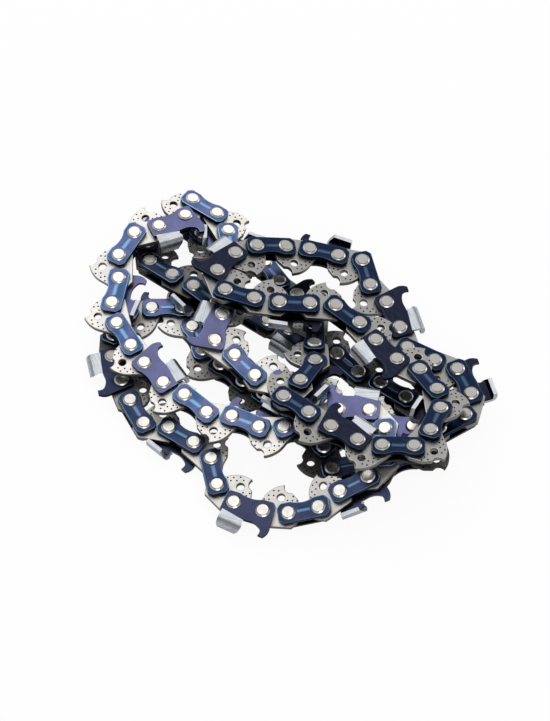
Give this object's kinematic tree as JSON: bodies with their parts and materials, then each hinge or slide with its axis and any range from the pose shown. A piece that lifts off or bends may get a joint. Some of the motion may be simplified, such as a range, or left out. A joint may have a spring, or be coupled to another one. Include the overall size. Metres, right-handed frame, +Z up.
{
  "type": "saw chain loop",
  "caption": "Closed loop of saw chain in a loose heap: drive links with tangs, riveted tie straps, and alternating left and right cutters with a chromed top plate and a depth gauge.",
  "frame": {"origin": "centre of the heap's bounding box, on the surface it lies on", "axes": "+Z up through the flat sides of the links, +X to the right and +Y away from the viewer of the picture"},
  "size_m": [0.1222, 0.1178, 0.0224],
  "materials": {
    "drive_link": "tumbled bare steel with punched dimples",
    "tie_strap": "blued steel, navy to violet, polished edges",
    "cutter": "blued side plate, hard chromed top plate",
    "rivet": "bright spun steel heads"
  },
  "bodies": {
    "root": {"tie_straps_01": "tie_strap", "rivets_01": "rivet", "drive_links_01": "drive_link", "right_cutter_01": "cutter", "left_cutter_01": "cutter", "drive_links_02": "drive_link", "right_cutter_02": "cutter", "left_cutter_02": "cutter", "tie_straps_02": "tie_strap", "drive_links_03": "drive_link", "right_cutter_03": "cutter", "left_cutter_03": "cutter", "drive_links_04": "drive_link", "right_cutter_04": "cutter", "left_cutter_04": "cutter", "tie_straps_03": "tie_strap", "rivets_02": "rivet", "drive_links_05": "drive_link", "right_cutter_05": "cutter", "left_cutter_05": "cutter", "drive_links_06": "drive_link", "right_cutter_06": "cutter", "left_cutter_06": "cutter", "tie_straps_04": "tie_strap", "drive_links_07": "drive_link", "right_cutter_07": "cutter", "left_cutter_07": "cutter", "drive_links_08": "drive_link", "right_cutter_08": "cutter", "left_cutter_08": "cutter", "tie_straps_05": "tie_strap", "rivets_03": "rivet", "drive_links_09": "drive_link", "right_cutter_09": "cutter", "left_cutter_09": "cutter", "drive_links_10": "drive_link", "right_cutter_10": "cutter", "left_cutter_10": "cutter", "tie_straps_06": "tie_strap", "drive_links_11": "drive_link", "right_cutter_11": "cutter", "left_cutter_11": "cutter", "drive_links_12": "drive_link", "right_cutter_12": "cutter", "left_cutter_12": "cutter", "tie_straps_07": "tie_strap", "rivets_04": "rivet", "drive_links_13": "drive_link", "right_cutter_13": "cutter", "left_cutter_13": "cutter", "drive_links_14": "drive_link", "right_cutter_14": "cutter", "left_cutter_14": "cutter", "tie_straps_08": "tie_strap", "drive_links_15": "drive_link", "right_cutter_15": "cutter", "left_cutter_15": "cutter", "drive_links_16": "drive_link", "right_cutter_16": "cutter", "left_cutter_16": "cutter"}
  },
  "joints": []
}
